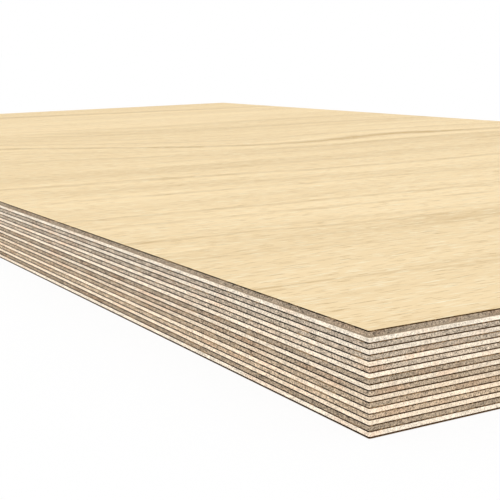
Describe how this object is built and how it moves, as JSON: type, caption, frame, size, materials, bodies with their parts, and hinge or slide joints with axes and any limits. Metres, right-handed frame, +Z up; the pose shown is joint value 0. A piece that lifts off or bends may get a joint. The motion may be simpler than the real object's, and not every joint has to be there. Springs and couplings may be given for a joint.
{
  "type": "plywood sheet",
  "caption": "Thick rectangular multi-ply plywood sheet with a pale straight-grained face, and flush sawn edges that show dark and pale plies in turn; raw board for cutting.",
  "frame": {"origin": "middle of the underside, on the surface that the sheet lies on", "axes": "+X along the long side, +Y along the short side and the grain of the face, +Z up through the face"},
  "size_m": [1, 0.5, 0.027],
  "materials": {
    "face_veneer": "satin",
    "dark_ply": "matte",
    "pale_ply": "matte",
    "glue_line": "matte",
    "back_veneer": "satin"
  },
  "bodies": {
    "root": {"face_veneer": "face_veneer", "glue_line_01": "glue_line", "glue_line_02": "glue_line", "glue_line_03": "glue_line", "glue_line_04": "glue_line", "glue_line_05": "glue_line", "glue_line_06": "glue_line", "glue_line_07": "glue_line", "glue_line_08": "glue_line", "glue_line_09": "glue_line", "glue_line_10": "glue_line", "glue_line_11": "glue_line", "glue_line_12": "glue_line", "glue_line_13": "glue_line", "glue_line_14": "glue_line", "glue_line_15": "glue_line", "glue_line_16": "glue_line", "glue_line_17": "glue_line", "glue_line_18": "glue_line", "glue_line_19": "glue_line", "ply_01_dark": "dark_ply", "ply_02_pale": "pale_ply", "ply_03_dark": "dark_ply", "ply_04_pale": "pale_ply", "ply_05_dark": "dark_ply", "ply_06_pale": "pale_ply", "ply_07_dark": "dark_ply", "ply_08_pale": "pale_ply", "ply_09_dark": "dark_ply", "ply_10_pale": "pale_ply", "ply_11_dark": "dark_ply", "ply_12_pale": "pale_ply", "ply_13_dark": "dark_ply", "ply_14_pale": "pale_ply", "ply_15_dark": "dark_ply", "ply_16_pale": "pale_ply", "ply_17_dark": "dark_ply", "ply_18_pale": "pale_ply", "back_veneer": "back_veneer"}
  },
  "joints": []
}
